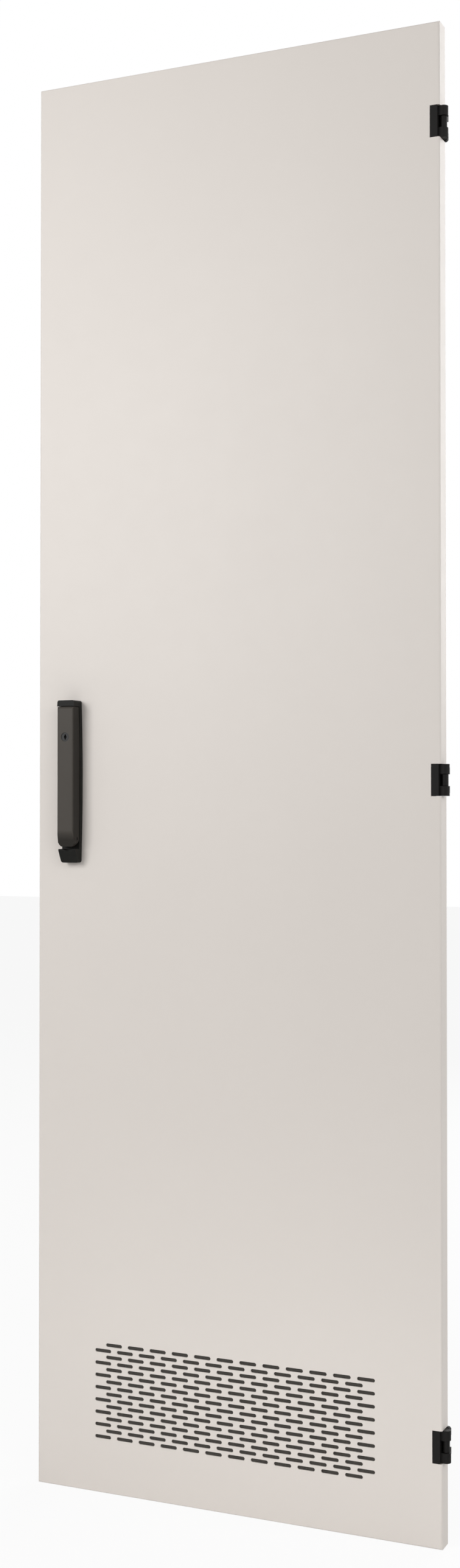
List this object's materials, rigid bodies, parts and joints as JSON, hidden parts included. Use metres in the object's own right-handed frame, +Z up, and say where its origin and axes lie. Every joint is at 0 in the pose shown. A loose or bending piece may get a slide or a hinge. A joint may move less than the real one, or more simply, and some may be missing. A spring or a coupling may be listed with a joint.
{
  "type": "vented enclosure door",
  "caption": "Tall sheet-steel enclosure door with a slotted air inlet near its foot, a swing handle that drives lock rods, and let-in side hinges.",
  "frame": {"origin": "below the middle of the whole door, level with the leaf's lower edge", "axes": "+Z up, the front faces -Y, hinges at +X"},
  "size_m": [0.6088, 0.073, 2],
  "materials": {
    "powder_coat": "fine-textured light grey powder coat",
    "coppered_steel": "copper-flashed weld stud",
    "zinc_plated": "blue zinc plating",
    "bright_steel": "drawn steel",
    "galvanised": "galvanised sheet",
    "foam": "matt foamed polyurethane",
    "filter_fleece": "loose synthetic fleece",
    "hinge_black": "black powder-coated casting",
    "handle_black": "glass-filled polyamide, lightly textured",
    "handle_grey": "dark grey powder coat on a zinc casting",
    "lock_black": "black-finished lock plug",
    "die_cast": "die-cast zinc",
    "black_plastic": "moulded polyamide",
    "brass_nut": "plain brass"
  },
  "bodies": {
    "hinge_leaves": {"upper_hinge_leaf": "hinge_black", "middle_hinge_leaf": "hinge_black", "lower_hinge_leaf": "hinge_black"},
    "door": {"door_leaf": "powder_coat", "weld_studs": "coppered_steel", "stud_nuts": "zinc_plated", "foam_gasket": "foam", "left_rail": "galvanised", "right_rail": "galvanised", "top_rail": "galvanised", "bottom_rail": "galvanised", "filter_mat": "filter_fleece", "filter_frame": "galvanised", "upper_hinge_block": "hinge_black", "middle_hinge_block": "hinge_black", "lower_hinge_block": "hinge_black", "upper_hinge_pin": "bright_steel", "middle_hinge_pin": "bright_steel", "lower_hinge_pin": "bright_steel", "handle_base": "handle_black", "handle_gasket": "foam", "handle_screws": "zinc_plated", "gear_case": "die_cast", "gear_cover": "galvanised", "cover_screws": "zinc_plated", "rod_guides": "black_plastic", "earth_stud": "coppered_steel", "earth_nut": "brass_nut"},
    "spindle": {"spindle": "bright_steel", "lever_pin": "bright_steel", "pinion": "bright_steel", "latch_tongue": "zinc_plated", "spindle_screw": "zinc_plated"},
    "lever": {"lever": "handle_grey"},
    "lock_plug": {"lock_plug": "lock_black"},
    "lock_bolt": {"lock_bolt": "zinc_plated"},
    "upper_rod": {"upper_rod": "zinc_plated", "upper_roller_pin": "bright_steel"},
    "lower_rod": {"lower_rod": "zinc_plated", "lower_roller_pin": "bright_steel"},
    "upper_roller": {"upper_roller": "black_plastic"},
    "lower_roller": {"lower_roller": "black_plastic"}
  },
  "joints": [
    {"name": "door_swing", "type": "hinge", "parent": "hinge_leaves", "child": "door", "pos_m": [0.29842, -0.0005, 1], "axis": [0, 0, 1], "range_deg": [0, 180]},
    {"name": "handle_turn", "type": "hinge", "parent": "door", "child": "spindle", "pos_m": [-0.24843, -0.0105, 0.919], "axis": [0, 1, 0], "range_deg": [0, 90]},
    {"name": "lever_flip", "type": "hinge", "parent": "spindle", "child": "lever", "pos_m": [-0.24843, -0.0255, 0.919], "axis": [1, 0, 0], "range_deg": [0, 35]},
    {"name": "key_turn", "type": "hinge", "parent": "lever", "child": "lock_plug", "pos_m": [-0.24843, -0.0305, 1.063], "axis": [0, 1, 0], "range_deg": [0, 90]},
    {"name": "bolt_slide", "type": "slide", "parent": "lever", "child": "lock_bolt", "axis": [0, 0, 1], "range_m": [0, 0.00354]},
    {"name": "upper_rod_slide", "type": "slide", "parent": "door", "child": "upper_rod", "axis": [0, 0, -1], "range_m": [0, 0.01885]},
    {"name": "lower_rod_slide", "type": "slide", "parent": "door", "child": "lower_rod", "axis": [0, 0, 1], "range_m": [0, 0.01885]},
    {"name": "upper_roller_spin", "type": "hinge", "parent": "upper_rod", "child": "upper_roller", "pos_m": [-0.22642, 0.0295, 1.972], "axis": [1, 0, 0], "continuous": true},
    {"name": "lower_roller_spin", "type": "hinge", "parent": "lower_rod", "child": "lower_roller", "pos_m": [-0.27043, 0.0295, 0.028], "axis": [1, 0, 0], "continuous": true}
  ],
  "couplings": [
    {"joint": "bolt_slide", "follows": "key_turn", "m_per_rad": 0.0022508},
    {"joint": "upper_rod_slide", "follows": "handle_turn", "m_per_rad": 0.012},
    {"joint": "lower_rod_slide", "follows": "handle_turn", "m_per_rad": 0.012}
  ]
}
